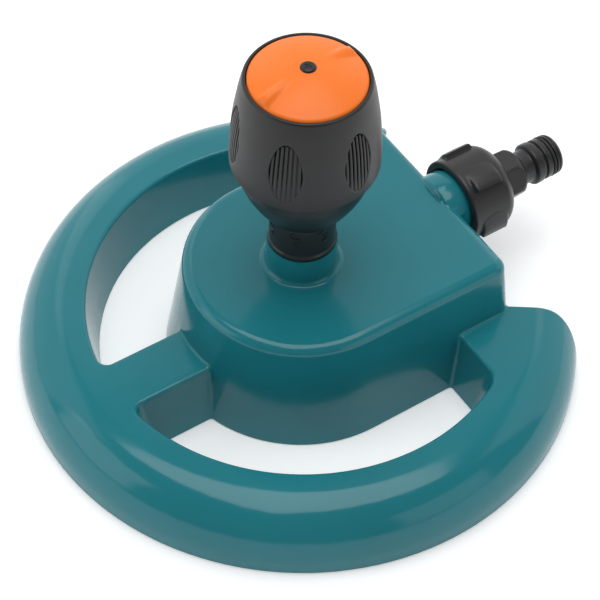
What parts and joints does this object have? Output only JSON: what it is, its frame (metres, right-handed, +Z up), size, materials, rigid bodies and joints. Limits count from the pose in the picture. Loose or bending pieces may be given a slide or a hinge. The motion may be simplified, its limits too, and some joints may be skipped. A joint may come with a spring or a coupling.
{
  "type": "sprinkler",
  "caption": "Garden sprinkler: C-shaped sled ring with a raised deck, a gear-driven bulb head with a domed two-jet nozzle disc, and a swivel hose coupling",
  "frame": {"origin": "on the floor plane under the head axis", "axes": "+Z up along the head axis, +X towards the hose coupling, the XZ plane is the base's plane of symmetry"},
  "size_m": [0.2318, 0.22, 0.1498],
  "materials": {
    "base_teal": "satin",
    "cone_black": "satin",
    "sleeve_black": "satin",
    "coupling_black": "satin",
    "nozzle_orange": "semi gloss",
    "seal_rubber": "matt",
    "gear_white": "satin",
    "inner_grey": "satin",
    "steel": "brushed",
    "filter_white": "matt"
  },
  "bodies": {
    "base": {"base_body": "base_teal", "inlet_filter": "filter_white", "riser_collar": "cone_black", "collar_o_ring": "seal_rubber", "head_base": "cone_black", "port_plate": "inner_grey", "retaining_ring": "steel"},
    "spigot": {"hose_spigot": "coupling_black", "spigot_o_ring": "seal_rubber", "coupling_washer": "seal_rubber"},
    "union_nut": {"coupling_nut": "coupling_black"},
    "head": {"head_housing": "inner_grey", "housing_o_ring": "seal_rubber", "stator_plate": "gear_white", "gearbox_case": "inner_grey", "gearbox_cover": "inner_grey", "gearbox_screws": "steel", "idler_pin": "steel", "shaft_seal": "seal_rubber", "seal_retainer": "steel", "grip_sleeve": "sleeve_black"},
    "nozzle": {"output_shaft": "gear_white", "output_gear": "gear_white", "nozzle_plate": "inner_grey", "nozzle_disc": "nozzle_orange", "center_screw": "cone_black", "thrust_washer": "gear_white"},
    "third_cluster": {"gear_3": "gear_white"},
    "second_cluster": {"gear_2": "gear_white"},
    "first_cluster": {"gear_1": "gear_white"},
    "turbine": {"turbine_wheel": "gear_white", "turbine_shaft": "steel", "turbine_pinion": "gear_white"}
  },
  "joints": [
    {"name": "spigot_slide", "type": "slide", "parent": "base", "child": "spigot", "axis": [1, 0, 0], "range_m": [0, 0.00726]},
    {"name": "nut_turn", "type": "hinge", "parent": "spigot", "child": "union_nut", "pos_m": [0.08, 0, 0.0382], "axis": [1, 0, 0], "range_deg": [0, 1440]},
    {"name": "head_turn", "type": "hinge", "parent": "base", "child": "head", "pos_m": [0, 0, 0.1], "axis": [0, 0, 1], "range_deg": [0, 60]},
    {"name": "nozzle_spin", "type": "hinge", "parent": "head", "child": "nozzle", "pos_m": [0, 0, 0.13], "axis": [0, 0, 1], "continuous": true},
    {"name": "gear_3_spin", "type": "hinge", "parent": "head", "child": "third_cluster", "pos_m": [0.008, 0, 0.107], "axis": [0, 0, 1], "continuous": true},
    {"name": "gear_2_spin", "type": "hinge", "parent": "head", "child": "second_cluster", "pos_m": [0, 0, 0.104], "axis": [0, 0, 1], "continuous": true},
    {"name": "gear_1_spin", "type": "hinge", "parent": "head", "child": "first_cluster", "pos_m": [0.008, 0, 0.101], "axis": [0, 0, 1], "continuous": true},
    {"name": "turbine_spin", "type": "hinge", "parent": "head", "child": "turbine", "pos_m": [0, 0, 0.095], "axis": [0, 0, 1], "continuous": true}
  ],
  "couplings": [
    {"joint": "spigot_slide", "follows": "nut_turn", "m_per_rad": 0.00028876},
    {"joint": "gear_3_spin", "follows": "nozzle_spin", "ratio": -3},
    {"joint": "gear_2_spin", "follows": "nozzle_spin", "ratio": 9},
    {"joint": "gear_1_spin", "follows": "nozzle_spin", "ratio": -27},
    {"joint": "turbine_spin", "follows": "nozzle_spin", "ratio": 81}
  ]
}
